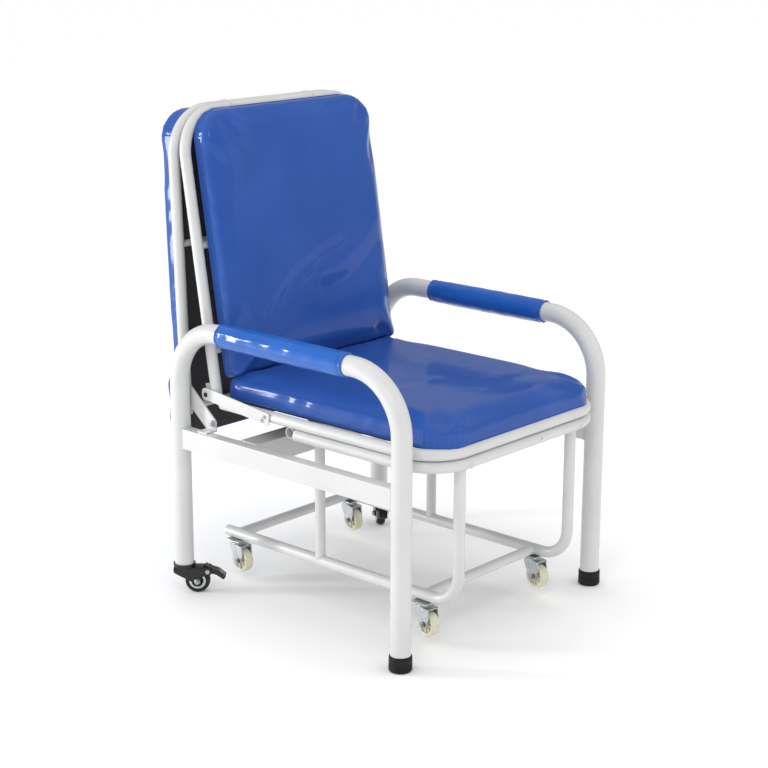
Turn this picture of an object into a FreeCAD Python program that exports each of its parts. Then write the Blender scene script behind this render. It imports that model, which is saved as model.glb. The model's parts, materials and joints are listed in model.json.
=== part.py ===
import FreeCAD, Part
import math
import os
import re
import Sketcher

# A ward chair that unfolds into a bed. The seat rolls forward on a trolley, and the backrest and
# the rear panel, hinged together at their tops, lie down behind it.
# Frame: +Z up, the chair faces -Y, +X is to the sitter's left, and the floor is Z = 0.
# Lengths are in millimetres, angles in degrees.

SIZES = {
    # base hoops
    "leg_x": 303, "leg_radius": 20, "tube_wall": 1.5,
    "leg_front_y": -330.6, "leg_rear_y": 268.5,
    "arm_z": 570,
    "arm_front_bend": 118, "arm_rear_bend": 112,
    "leg_front_end": 6.2, "leg_rear_end": 64,
    # rubber feet and armrest sleeves
    "foot_radius": 22.8, "foot_height": 32, "foot_floor": 6,
    "sleeve_front_y": -198, "sleeve_left_rear": 143, "sleeve_right_rear": 110,
    "sleeve_radius": 23.8, "fit_gap": 0.15,
    # side rails and the beam between them
    "rail_wide": 26, "rail_high": 42, "rail_top": 359, "rail_wall": 1.5,
    "beam_y": 86.5, "beam_wide": 49, "beam_high": 47,
    # pivot brackets of the rear panel
    "bracket_inner": 279.5, "bracket_thick": 3.5, "bracket_corner": 8,
    "lug_y": 195.5, "lug_z": 375, "pivot_y": 299.4, "pivot_z": 425.2, "pivot_radius": 5,
    # folding panels: the top tubes run side by side, one behind the other
    "panel_radius": 11.5, "panel_x": 259, "panel_bend": 90,
    "top_z": 991.2, "rear_top_y": 321.5, "back_top_y": 297.35,
    "rear_lean": 2.236, "back_lean": 9.2,
    "rear_low": 620, "back_low": 572, "slat_radius": 7,
    "slat_upper": 267, "slat_lower": 480, "slat_bottom": 608,
    "pad_half": 244, "board_thick": 4, "board_face": 14.4, "board_top": 18,
    "pad_face": 14.6, "pad_thick": 46, "pad_top": 1, "pad_corner": 68, "pad_low_corner": 16,
    "board_inset": 6, "rear_board_low": 670, "rear_pad_low": 546, "pillow_top": 548, "pillow_low": 676,
    "pillow_thick": 74.2, "pillow_corner": 30, "back_pad_low": 524,
    # hinge clips on the two top tubes
    "clip_x": 120, "clip_wide": 16, "clip_radius": 12.9, "clip_web": 13, "turn_gap": 0.05,
    # lower pivot of the backrest, measured in the backrest's own frame
    "ear_along": 566.98, "ear_out": 15.7, "ear_thick": 4, "ear_high": 26, "ear_reach": 28,
    "pin_radius": 4, "seat_pivot_y": 222.2, "seat_pivot_z": 429,
    # seat frame, pad and link bars
    "seat_z": 412.5, "seat_front_y": -377, "seat_rear_y": 190, "seat_bend": 84,
    "seat_pad_front": -385, "seat_pad_rear": 195, "seat_pad_low": 424, "seat_pad_thick": 47,
    "seat_board_low": 418, "seat_board_thick": 5.8,
    "link_inner": 271, "link_thick": 3, "link_corner": 9,
    # trolley
    "loop_z": 388.5, "loop_rear_y": -22, "post_x": 173.8, "post_front_y": -363, "post_mid_y": 0,
    "skid_z": 100.5, "skid_rear_y": 270, "skid_bend": 60, "bar_front_y": -279, "bar_rear_y": 240,
    # trolley casters: their wheels hang a little above the floor until the bed is open
    "wheel_radius": 25.5, "wheel_wide": 20, "wheel_z": 45.2, "wheel_trail": 13,
    "plate_side": 40, "plate_thick": 2.5, "fork_wide": 28, "fork_wall": 2.5, "race_radius": 13,
    "axle_radius": 3,
    # brake casters of the rear legs
    "brake_radius": 26, "brake_wide": 19, "hub_radius": 16, "brake_trail": 27,
    "cheek_wall": 4, "cheek_gap": 1, "socket_radius": 23, "socket_high": 7,
    "pedal_y": 49, "pedal_z": 48, "pedal_slot": 41, "rivet_radius": 3,
}

# The six casters: where each stands and how far it is turned on its swivel.
TROLLEY_CASTERS = {
    "front_left": (-173.8, -279, 169),
    "front_right": (173.8, -279, 171),
    "rear_left": (-173.8, 240, 174),
    "rear_right": (173.8, 240, 168),
}
SIDES = {"left": -1, "right": 1}
# How far the rear casters are turned on their swivels, mirrored from side to side.
BRAKE_TURN = 139

doc = FreeCAD.newDocument("recliner_chair")
sheet = doc.addObject("Spreadsheet::Sheet", "Sizes")
for row, (alias, number) in enumerate(SIZES.items(), start=1):
    sheet.set("A%d" % row, alias)
    sheet.set("B%d" % row, repr(number))
    sheet.setAlias("B%d" % row, alias)
doc.recompute()

nodes = []


def bound(words):
    """The expression with every alias pointed at the sheet."""
    def prefix(found):
        return "Sizes." + found.group(0) if found.group(0) in SIZES else found.group(0)
    return re.sub(r"[a-z][a-z_]+", prefix, str(words))


def value(words):
    return float(probe.evalExpression(bound(words)))


probe = doc.addObject("Part::Vertex", "probe")


def bind(obj, prop, words):
    obj.setExpression(prop, bound(words))


def place(obj, where=("0", "0", "0"), axis=(0, 0, 1), angle="0"):
    """Bind an object's placement: a base point and a turn about one axis."""
    base = FreeCAD.Vector(*[value(word) for word in where])
    obj.Placement = FreeCAD.Placement(base, FreeCAD.Rotation(FreeCAD.Vector(*axis), value(angle)))
    for letter, word in zip("xyz", where):
        bind(obj, "Placement.Base." + letter, word)
    if value(angle):
        bind(obj, "Placement.Rotation.Angle", "(%s) * 1 deg" % angle)
    return obj


def node(obj, name):
    """Name a finished sub-part; its label names its file."""
    obj.Label = name
    nodes.append(obj)
    return obj


def body(name):
    return doc.addObject("PartDesign::Body", name + "_body")


# ---- sketches ---------------------------------------------------------------------------------

def sketch_on(owner, role, offset="0"):
    """A sketch on one of the body's origin planes, moved along the plane's normal."""
    plane = [feature for feature in owner.Origin.OriginFeatures if feature.Role == role][0]
    sketch = owner.newObject("Sketcher::SketchObject", "sketch")
    sketch.AttachmentSupport = (plane, [""])
    sketch.MapMode = "FlatFace"
    bind(sketch, "AttachmentOffset.Base.z", offset)
    return sketch


def fix_point(sketch, geo, pos, where):
    """Dimension one sketch point from the origin in both directions."""
    for kind, word in zip(("DistanceX", "DistanceY"), where):
        index = sketch.addConstraint(Sketcher.Constraint(kind, -1, 1, geo, pos, value(word)))
        bind(sketch, "Constraints[%d]" % index, word)


def draw_polygon(sketch, corners):
    """A closed outline of straight lines, dimensioned by its corners."""
    points = [FreeCAD.Vector(value(u), value(v), 0) for u, v in corners]
    lines = []
    for i, point in enumerate(points):
        lines.append(sketch.addGeometry(Part.LineSegment(point, points[(i + 1) % len(points)])))
    for i, line in enumerate(lines):
        following = lines[(i + 1) % len(lines)]
        sketch.addConstraint(Sketcher.Constraint("Coincident", line, 2, following, 1))
        fix_point(sketch, line, 1, corners[i])


# ---- features ---------------------------------------------------------------------------------

# How a point of each plane's sketch lies in the body: which of x, y and z are u and v.
PLANE_AXES = {"XY_Plane": (0, 1), "XZ_Plane": (0, 2), "YZ_Plane": (1, 2)}


def corner_edges(shape, role, spots):
    """Names of the straight edges that stand on the plane at the given corners."""
    found = []
    u, v = PLANE_AXES[role]
    for number, edge in enumerate(shape.Edges, start=1):
        ends = [edge.Vertexes[0].Point, edge.Vertexes[-1].Point]
        for spot in spots:
            if all(math.hypot(end[u] - spot[0], end[v] - spot[1]) < 1e-4 for end in ends):
                found.append("Edge%d" % number)
    return found


def slab(name, role, corners, bends, offset, thick):
    """A flat piece: an outline padded along the plane's normal, its corners then rounded."""
    owner = body(name)
    outline = sketch_on(owner, role, offset)
    draw_polygon(outline, corners)
    pad = owner.newObject("PartDesign::Pad", "pad")
    pad.Profile = outline
    bind(pad, "Length", "(%s)" % thick)
    doc.recompute()
    for bend in sorted(set(bends)):
        spots = [(value(u), value(v)) for (u, v), own in zip(corners, bends) if own == bend]
        base = owner.Tip
        fillet = owner.newObject("PartDesign::Fillet", "fillet")
        fillet.Base = (base, corner_edges(base.Shape, role, spots))
        bind(fillet, "Radius", bend)
        doc.recompute()
    return owner


def block(size, corner):
    box = doc.addObject("Part::Box", "block")
    for side, word in zip(("Length", "Width", "Height"), size):
        bind(box, side, word)
    return place(box, corner)


TURNS = {"x": ((0, 1, 0), "90"), "y": ((1, 0, 0), "-90"), "z": ((0, 0, 1), "0")}


def rod(radius, length, start, along):
    """A round bar from its start point, along +x, +y or +z."""
    bar = doc.addObject("Part::Cylinder", "rod")
    bind(bar, "Radius", radius)
    bind(bar, "Height", length)
    axis, angle = TURNS[along]
    return place(bar, start, axis, angle)


def cut(base, tool):
    result = doc.addObject("Part::Cut", "cut")
    result.Base = base
    result.Tool = tool
    return result


def fuse(pieces):
    result = doc.addObject("Part::MultiFuse", "fuse")
    result.Shapes = pieces
    return result


def group(pieces):
    """Separate solids that share one node."""
    result = doc.addObject("Part::Compound", "group")
    result.Links = pieces
    return result


def hollow_rod(radius, wall, length, start, along):
    inner = rod("%s - %s" % (radius, wall), length, start, along)
    return cut(rod(radius, length, start, along), inner)


def direction(start, end):
    """Unit step from one corner of a path to the next; every run lies along u or v."""
    du = value(end[0]) - value(start[0])
    dv = value(end[1]) - value(start[1])
    return (round(du / math.hypot(du, dv)), round(dv / math.hypot(du, dv)))


def moved(point, step, length):
    """The point moved along a step, as a pair of expressions."""
    return tuple("%s + (%d) * (%s)" % (word, part, length) for word, part in zip(point, step))


def bent_runs(corners, bends, radius):
    """The stretches of a round bar in the XY plane: straight runs, then quarter toruses."""
    steps = [direction(a, b) for a, b in zip(corners, corners[1:])]
    bends = ["0"] + bends + ["0"]
    pieces = []
    for i, step in enumerate(steps):
        start = moved(corners[i], step, bends[i])
        back = (-step[0], -step[1])
        end = moved(corners[i + 1], back, bends[i + 1])
        along = "x" if step[0] else "y"
        # a bar runs towards +u or +v, so a backward run is built from its end
        low, high = (start, end) if sum(step) > 0 else (end, start)
        axis = 0 if step[0] else 1
        length = "(%s) - (%s)" % (high[axis], low[axis])
        pieces.append(rod(radius, length, low + ("0",), along))
    for i in range(1, len(steps)):
        before, after = steps[i - 1], steps[i]
        centre = moved(moved(corners[i], (-before[0], -before[1]), bends[i]), after, bends[i])
        first, last = (-after[0], -after[1]), before
        if first[0] * last[1] - first[1] * last[0] < 0:
            first, last = last, first
        quarter = doc.addObject("Part::Torus", "bend")
        bind(quarter, "Radius1", bends[i])
        bind(quarter, "Radius2", radius)
        quarter.Angle3 = 90
        angle = round(math.degrees(math.atan2(first[1], first[0])))
        pieces.append(place(quarter, centre + ("0",), (0, 0, 1), str(angle)))
    return pieces


def bent_tube(corners, bends, radius):
    """A hollow bent tube in the XY plane, bored stretch by stretch."""
    outer = bent_runs(corners, bends, radius)
    inner = bent_runs(corners, bends, "%s - tube_wall" % radius)
    return fuse([cut(stretch, bore) for stretch, bore in zip(outer, inner)])


def cross_tube(reach, y, z, radius, side_x, side_radius, side_along, side_start):
    """A round tube across the object, coped to fit against a round tube at each side."""
    tube = hollow_rod(radius, "tube_wall", "2 * (%s)" % reach, ("-(%s)" % reach, y, z), "x")
    sides = []
    for sign in SIDES.values():
        x = "%d * (%s)" % (sign, side_x)
        sides.append(rod("%s + fit_gap" % side_radius, "1200", (x,) + side_start, side_along))
    return cut(tube, fuse(sides))


# ---- base -------------------------------------------------------------------------------------

def stand_along_y(obj, where):
    """Turn a piece made in the XY plane so that its u runs along +Y and its v along +Z."""
    return place(obj, where, (1, 1, 1), "120")


def make_hoops():
    """Front leg, armrest run and rear leg are one bent tube on each side."""
    corners = [("leg_front_y", "leg_front_end"), ("leg_front_y", "arm_z"),
               ("leg_rear_y", "arm_z"), ("leg_rear_y", "leg_rear_end")]
    for side, sign in SIDES.items():
        hoop = bent_tube(corners, ["arm_front_bend", "arm_rear_bend"], "leg_radius")
        node(stand_along_y(hoop, ("%d * leg_x" % sign, "0", "0")), "hoop_" + side)


def make_sleeves():
    for side, sign in SIDES.items():
        start = ("%d * leg_x" % sign, "sleeve_front_y", "arm_z")
        sleeve = hollow_rod("sleeve_radius", "(sleeve_radius - leg_radius - fit_gap)",
                            "sleeve_%s_rear - sleeve_front_y" % side, start, "y")
        node(sleeve, "armrest_sleeve_" + side)


def make_feet():
    for side, sign in SIDES.items():
        spot = ("%d * leg_x" % sign, "leg_front_y")
        outer = rod("foot_radius", "foot_height", spot + ("0",), "z")
        bore = rod("leg_radius + fit_gap", "foot_height", spot + ("foot_floor",), "z")
        node(cut(outer, bore), "front_foot_" + side)


def make_rails():
    """Rectangular side rails, coped to the legs, and one deep beam between them."""
    for side, sign in SIDES.items():
        low = "rail_top - rail_high"
        corner = ("%d * leg_x - rail_wide / 2" % sign, "leg_front_y", low)
        outer = block(("rail_wide", "leg_rear_y - leg_front_y", "rail_high"), corner)
        inner_corner = ("%d * leg_x - rail_wide / 2 + rail_wall" % sign, "leg_front_y",
                        low + " + rail_wall")
        inner = block(("rail_wide - 2 * rail_wall", "leg_rear_y - leg_front_y",
                       "rail_high - 2 * rail_wall"), inner_corner)
        legs = []
        for y in ("leg_front_y", "leg_rear_y"):
            legs.append(rod("leg_radius + fit_gap", "600", ("%d * leg_x" % sign, y, "0"), "z"))
        node(cut(cut(outer, inner), fuse(legs)), "side_rail_" + side)
    half = "leg_x - rail_wide / 2"
    corner = ("-(%s)" % half, "beam_y - beam_wide / 2", "rail_top - beam_high")
    inner_corner = (corner[0], corner[1] + " + rail_wall", corner[2] + " + rail_wall")
    outer = block(("2 * (%s)" % half, "beam_wide", "beam_high"), corner)
    inner = block(("2 * (%s)" % half, "beam_wide - 2 * rail_wall", "beam_high - 2 * rail_wall"),
                  inner_corner)
    node(cut(outer, inner), "cross_rails")


def bracket_outline():
    """Side view of a bracket: lug on the rail, slanting brace, ear behind the rear leg."""
    return [("lug_y - 9", "rail_top + 0.2"), ("lug_y - 9", "lug_z + 6"),
            ("leg_rear_y - 4", "pivot_z + 22"), ("leg_rear_y + 14", "pivot_z + 22"),
            ("pivot_y + 12", "pivot_z + 11"), ("pivot_y + 12", "pivot_z - 12"),
            ("leg_rear_y + 9", "pivot_z - 12"), ("lug_y + 17", "rail_top + 0.2")]


def make_brackets():
    for side, sign in SIDES.items():
        inner = "%d * bracket_inner - %s" % (sign, "0" if sign > 0 else "bracket_thick")
        bends = ["2", "bracket_corner", "bracket_corner", "bracket_corner", "bracket_corner",
                 "bracket_corner", "bracket_corner", "2"]
        plate = slab("bracket", "YZ_Plane", bracket_outline(), bends, inner, "bracket_thick")
        holes = []
        for y, z, radius in (("pivot_y", "pivot_z", "pivot_radius"), ("lug_y", "lug_z", "pin_radius")):
            start = ("%d * bracket_inner - 10" % sign, y, z)
            holes.append(rod(radius + " + turn_gap", "20", start, "x"))
        reach = "leg_x + 6 - bracket_inner"
        tab_x = "bracket_inner" if sign > 0 else "-(leg_x + 6)"
        tab = block((reach, "26", "3.4"), (tab_x, "lug_y - 9", "rail_top"))
        node(cut(fuse([plate, tab]), fuse(holes)), "pivot_bracket_" + side)


def bolt(radius, length, head_radius, head_thick, tip, outward):
    """A bolt along x: its shank starts at the tip and its round head is at the outer end."""
    x, y, z = tip
    if outward > 0:
        shank = rod(radius, length, (x, y, z), "x")
        head = rod(head_radius, head_thick, ("%s + %s" % (x, length), y, z), "x")
    else:
        shank = rod(radius, length, ("%s - (%s)" % (x, length), y, z), "x")
        head = rod(head_radius, head_thick, ("%s - (%s) - (%s)" % (x, length, head_thick), y, z), "x")
    return fuse([shank, head])


def make_frame_bolts():
    bolts = []
    for sign in SIDES.values():
        tip = ("%d * (bracket_inner - 5)" % sign, "lug_y", "lug_z")
        bolts.append(bolt("pin_radius", "bracket_thick + 5.1", "7.5", "3.5", tip, sign))
    node(group(bolts), "frame_bolts")


# ---- folding panels ---------------------------------------------------------------------------

def panel_place(obj, which):
    """Put a piece made in a panel's own frame, whose origin is the middle of its top tube."""
    return place(obj, ("0", which + "_top_y", "top_z"), (1, 0, 0), "-%s_lean" % which)


def panel_tube(which, low):
    """The panel's tube is bent flat and then stood up to the panel's lean."""
    corners = [("-panel_x", "-" + low), ("-panel_x", "0"), ("panel_x", "0"), ("panel_x", "-" + low)]
    frame = bent_tube(corners, ["panel_bend", "panel_bend"], "panel_radius")
    return place(frame, ("0", which + "_top_y", "top_z"), (1, 0, 0), "90 - %s_lean" % which)


def panel_slats(which, drops):
    slats = []
    for drop in drops:
        slats.append(cross_tube("panel_x - panel_radius / 2", "0", "-" + drop, "slat_radius",
                                "panel_x", "panel_radius", "z", ("0", "-1000")))
    return panel_place(group(slats), which)


def panel_pad(name, which, half, top, low, corners, face, thick):
    """A flat piece on a panel: forward of the tube on the backrest, behind it on the rear one."""
    left, floor = "-(%s)" % half, "-(%s)" % low
    outline = [(left, floor), (left, top), (half, top), (half, floor)]
    offset = face if which == "back" else "-(%s) - (%s)" % (face, thick)
    return panel_place(slab(name, "XZ_Plane", outline, corners, offset, thick), which)


def make_rear_panel():
    node(panel_tube("rear", "rear_low"), "rear_panel_frame")
    node(panel_slats("rear", ["slat_upper", "slat_lower", "slat_bottom"]), "rear_panel_slats")
    tops = ["pad_low_corner", "pad_corner", "pad_corner", "pad_low_corner"]
    board_face = "board_face - board_thick"
    node(panel_pad("board", "rear", "pad_half - board_inset", "-board_top", "rear_board_low", tops,
                   board_face, "board_thick"), "rear_panel_board")
    node(panel_pad("pad", "rear", "pad_half", "pad_top", "rear_pad_low", tops,
                   "pad_face", "pad_thick"), "rear_panel_cushion")
    node(panel_pad("pillow", "rear", "pad_half", "-pillow_top", "pillow_low", ["pillow_corner"] * 4,
                   "pad_face", "pillow_thick"), "rear_panel_pillow")
    pivots = []
    for sign in SIDES.values():
        tip = ("%d * (panel_x - 5)" % sign, "pivot_y", "pivot_z")
        length = "bracket_inner + bracket_thick - panel_x + 5.2"
        pivots.append(bolt("pivot_radius", length, "8", "3", tip, sign))
    node(group(pivots), "rear_panel_pivots")


def make_clips():
    """Figure-8 clips: each holds both top tubes side by side and lets both turn."""
    clips = []
    for sign in SIDES.values():
        x = "%d * clip_x - clip_wide / 2" % sign
        outers = []
        bores = []
        for y in ("back_top_y", "rear_top_y"):
            outers.append(rod("clip_radius", "clip_wide", (x, y, "top_z"), "x"))
            bores.append(rod("panel_radius + turn_gap", "clip_wide", (x, y, "top_z"), "x"))
        web = block(("clip_wide", "rear_top_y - back_top_y", "clip_web"),
                    (x, "back_top_y", "top_z - clip_web / 2"))
        clips.append(cut(fuse(outers + [web]), fuse(bores)))
    node(group(clips), "hinge_clips")


def make_backrest():
    node(panel_tube("back", "back_low"), "back_frame")
    node(panel_slats("back", ["slat_upper", "slat_lower"]), "back_slats")
    tops = ["pad_low_corner", "pad_corner", "pad_corner", "pad_low_corner"]
    node(panel_pad("board", "back", "pad_half - board_inset", "-board_top",
                   "back_pad_low - board_inset", tops, "board_face - board_thick", "board_thick"),
         "back_board")
    node(panel_pad("pad", "back", "pad_half", "pad_top", "back_pad_low", tops,
                   "pad_face", "pad_thick"), "back_cushion")
    ears = []
    for sign in SIDES.values():
        x = "%d * panel_x - ear_thick / 2" % sign
        plate = block(("ear_thick", "ear_reach - panel_radius", "ear_high"),
                      (x, "panel_radius", "-ear_along - ear_high / 2 + 8"))
        length = "link_inner + link_thick + 0.1 - panel_x"
        pin = bolt("pin_radius", length, "6.5", "1.5",
                   ("%d * panel_x" % sign, "ear_out", "-ear_along"), sign)
        ears.append(fuse([plate, pin]))
    node(panel_place(group(ears), "back"), "back_ears")


# ---- seat -------------------------------------------------------------------------------------

def flat_loop(rear, height):
    """A U-shaped tube lying flat, open to the rear."""
    corners = [("-panel_x", rear), ("-panel_x", "seat_front_y"), ("panel_x", "seat_front_y"),
               ("panel_x", rear)]
    loop = bent_tube(corners, ["seat_bend", "seat_bend"], "panel_radius")
    return place(loop, ("0", "0", height))


def seat_slab(name, half, front, rear, low, thick, corners):
    left = "-(%s)" % half
    outline = [(left, front), (half, front), (half, rear), (left, rear)]
    return slab(name, "XY_Plane", outline, corners, low, thick)


def make_seat():
    node(flat_loop("seat_rear_y", "seat_z"), "seat_frame")
    corners = ["pad_corner", "pad_corner", "pad_low_corner", "pad_low_corner"]
    node(seat_slab("board", "pad_half - board_inset", "seat_front_y + 16", "seat_rear_y - 5",
                   "seat_board_low", "seat_board_thick", corners), "seat_board")
    node(seat_slab("pad", "pad_half", "seat_pad_front", "seat_pad_rear", "seat_pad_low",
                   "seat_pad_thick", corners), "seat_cushion")


def link_outline():
    """Side view of a link bar: it tapers from the seat tube up to the backrest's pivot."""
    return [("44", "seat_z - 15"), ("44", "seat_z + 10"),
            ("seat_pivot_y - 8", "seat_pivot_z + 13"), ("seat_pivot_y + 13", "seat_pivot_z + 13"),
            ("seat_pivot_y + 13", "seat_pivot_z - 13"), ("seat_pivot_y - 8", "seat_pivot_z - 12")]


def make_links():
    for side, sign in SIDES.items():
        inner = "%d * link_inner - %s" % (sign, "0" if sign > 0 else "link_thick")
        bends = ["3", "3"] + ["link_corner"] * 4
        plate = slab("link", "YZ_Plane", link_outline(), bends, inner, "link_thick")
        face = "link_inner + link_thick - 1" if sign > 0 else "-(link_inner + link_thick + 2)"
        heads = []
        for y, z in (("55", "seat_z + 2"), ("62", "seat_z - 6.5")):
            heads.append(rod("4", "3", (face, y, z), "x"))
        hole = rod("pin_radius + turn_gap", "20",
                   ("%d * link_inner - 10" % sign, "seat_pivot_y", "seat_pivot_z"), "x")
        node(cut(fuse([plate] + heads), hole), "seat_link_" + side)


# ---- trolley ----------------------------------------------------------------------------------

def make_trolley():
    node(flat_loop("loop_rear_y", "loop_z"), "trolley_loop")
    corners = [("skid_rear_y", "skid_z"), ("post_front_y", "skid_z"), ("post_front_y", "loop_z - 3")]
    for side, sign in SIDES.items():
        skid = bent_tube(corners, ["skid_bend"], "panel_radius")
        run = rod("panel_radius + fit_gap", "2 * panel_x", ("-panel_x", "seat_front_y", "loop_z"), "x")
        placed = stand_along_y(skid, ("%d * post_x" % sign, "0", "0"))
        node(cut(placed, run), "trolley_side_" + side)


def make_trolley_bars():
    """Two lower bars coped to the side tubes, and one upper bar under the seat frame."""
    bars = []
    for y in ("bar_front_y", "bar_rear_y"):
        bars.append(cross_tube("post_x - panel_radius / 2", y, "skid_z", "panel_radius - 1",
                               "post_x", "panel_radius", "y", ("-600", "skid_z")))
    bars.append(hollow_rod("panel_radius", "tube_wall", "2 * panel_x",
                           ("-panel_x", "post_mid_y", "loop_z + 1"), "x"))
    node(group(bars), "trolley_crossbars")
    posts = []
    for sign in SIDES.values():
        x = "%d * post_x" % sign
        post = hollow_rod("panel_radius - 1", "tube_wall", "loop_z + 1 - skid_z",
                          (x, "post_mid_y", "skid_z"), "z")
        ends = [rod("panel_radius + fit_gap", "100", (x, "post_mid_y - 50", "skid_z"), "y"),
                rod("panel_radius + fit_gap", "100", (x + " - 50", "post_mid_y", "loop_z + 1"), "x")]
        posts.append(cut(post, fuse(ends)))
    node(group(posts), "trolley_posts")


def end_plug(radius, x, y, z):
    """A domed plug in a tube end that faces the rear."""
    shank = rod("%s - tube_wall - fit_gap" % radius, "14", (x, "%s - 12" % y, z), "y")
    rim = rod(radius, "3", (x, "%s + 0.1" % y, z), "y")
    return fuse([shank, rim])


def make_end_plugs():
    plugs = []
    for sign in SIDES.values():
        plugs.append(end_plug("panel_radius", "%d * panel_x" % sign, "loop_rear_y", "loop_z"))
        plugs.append(end_plug("panel_radius", "%d * post_x" % sign, "skid_rear_y", "skid_z"))
    node(group(plugs), "end_plugs")


# ---- trolley casters --------------------------------------------------------------------------

def caster_place(obj, spot):
    x, y, turn = spot
    return place(obj, (str(x), str(y), "0"), (0, 0, 1), str(turn))


def fork_outline():
    """Side view of a fork: broad shoulders under the race that narrow to the axle."""
    top = "skid_z - panel_radius - plate_thick - 7"
    return [("-race_radius", top), ("-race_radius", top + " - 8"), ("wheel_trail - 9", "wheel_z - 3"),
            ("wheel_trail - 6", "wheel_z - 8"), ("wheel_trail + 6", "wheel_z - 8"),
            ("wheel_trail + 9", "wheel_z - 3"), ("wheel_trail + 15", "wheel_z + 14"),
            ("wheel_trail + 13", top)]


def make_fork():
    """A folded U with the swivel race on top; the wheel trails towards +y of its own frame."""
    top = "skid_z - panel_radius - plate_thick - 7"
    side = slab("fork", "YZ_Plane", fork_outline(), ["3", "5", "4", "4", "4", "4", "6", "3"],
                "-fork_wide / 2", "fork_wide")
    slot = block(("fork_wide - 2 * fork_wall", "80", "60"),
                 ("-fork_wide / 2 + fork_wall", "-40", top + " - fork_wall - 60"))
    hole = rod("axle_radius + turn_gap", "60", ("-30", "wheel_trail", "wheel_z"), "x")
    race = rod("race_radius", "6.7", ("0", "0", top), "z")
    return fuse([cut(side, fuse([slot, hole])), race])


def make_trolley_casters():
    plates = []
    for name, spot in TROLLEY_CASTERS.items():
        x, y, turn = spot
        low = "skid_z - panel_radius - plate_thick"
        plates.append(block(("plate_side", "plate_side", "plate_thick"),
                            ("%s - plate_side / 2" % x, "%s - plate_side / 2" % y, low)))
        node(caster_place(make_fork(), spot), "caster_fork_" + name)
        axle = through_pin("axle_radius", "fork_wide / 2", "wheel_trail", "wheel_z", "5")
        node(caster_place(axle, spot), "caster_axle_" + name)
        tread = rod("wheel_radius", "wheel_wide", ("-wheel_wide / 2", "wheel_trail", "wheel_z"), "x")
        rounded = doc.addObject("Part::Fillet", "tread")
        rounded.Base = tread
        rounded.Edges = [(1, 5.0, 5.0), (3, 5.0, 5.0)]
        bore = rod("axle_radius + turn_gap", "60", ("-30", "wheel_trail", "wheel_z"), "x")
        node(caster_place(cut(rounded, bore), spot), "caster_wheel_" + name)
    node(group(plates), "caster_plates")


# ---- brake casters ----------------------------------------------------------------------------

def make_sockets():
    for side, sign in SIDES.items():
        spot = ("%d * leg_x" % sign, "leg_rear_y")
        low = "leg_rear_end - 0.1 - socket_high"
        flange = rod("socket_radius", "socket_high", spot + (low,), "z")
        plug = rod("leg_radius - tube_wall - fit_gap", "26", spot + ("leg_rear_end - 0.2",), "z")
        node(fuse([flange, plug]), "caster_socket_" + side)


def cheek_outline():
    """Side view of a brake caster's housing: a broad hood that narrows to the axle."""
    top = "leg_rear_end - 0.3 - socket_high"
    return [("-22", top), ("-22", top + " - 13"), ("brake_trail - 13", "brake_radius - 12"),
            ("brake_trail + 13", "brake_radius - 12"), ("brake_trail + 19", "brake_radius + 6"),
            ("brake_trail + 30", "brake_radius + 14"), ("brake_trail + 29", top)]


def make_housing():
    half = "(brake_wide / 2 + cheek_gap + cheek_wall)"
    room_wide = "brake_wide + 2 * cheek_gap"
    room_x = "-brake_wide / 2 - cheek_gap"
    side = slab("housing", "YZ_Plane", cheek_outline(), ["4", "6", "8", "8", "5", "6", "4"],
                "-" + half, "2 * " + half)
    room = block((room_wide, "100", "brake_radius + 3"), (room_x, "-50", "0"))
    slot = block((room_wide, "60", "60"), (room_x, "pedal_slot", "brake_radius"))
    arch = rod("brake_radius + 2.5", room_wide, (room_x, "brake_trail", "brake_radius"), "x")
    hole = rod("pin_radius + turn_gap", "80", ("-40", "brake_trail", "brake_radius"), "x")
    rivet_hole = rod("rivet_radius + turn_gap", "80", ("-40", "pedal_y", "pedal_z"), "x")
    return cut(side, fuse([room, slot, arch, hole, rivet_hole]))


def make_pedal():
    """The brake lever rocks on a rivet in the hood and reaches out beyond the wheel."""
    outline = [("pedal_y - 6", "pedal_z + 14"), ("pedal_y + 3", "pedal_z + 8"),
               ("pedal_y + 24", "pedal_z + 1"), ("pedal_y + 38", "pedal_z - 11"),
               ("pedal_y + 33", "pedal_z - 19"), ("pedal_y + 17", "pedal_z - 8"),
               ("pedal_y + 4", "pedal_z - 5"), ("pedal_y - 4", "pedal_z + 1")]
    lever = slab("pedal", "YZ_Plane", outline, ["1", "3", "8", "3", "3", "6", "3", "2"],
                 "-brake_wide / 2", "brake_wide")
    hole = rod("rivet_radius + turn_gap", "60", ("-30", "pedal_y", "pedal_z"), "x")
    return cut(lever, hole)


def through_pin(radius, half, y, z, head_radius):
    """A pin across a caster along x, with a head outside each cheek."""
    shank = rod(radius, "2 * (%s) + 0.4" % half, ("-(%s) - 0.2" % half, y, z), "x")
    near = rod(head_radius, "2", ("-(%s) - 2.2" % half, y, z), "x")
    far = rod(head_radius, "2", ("(%s) + 0.2" % half, y, z), "x")
    return fuse([shank, near, far])


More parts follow.
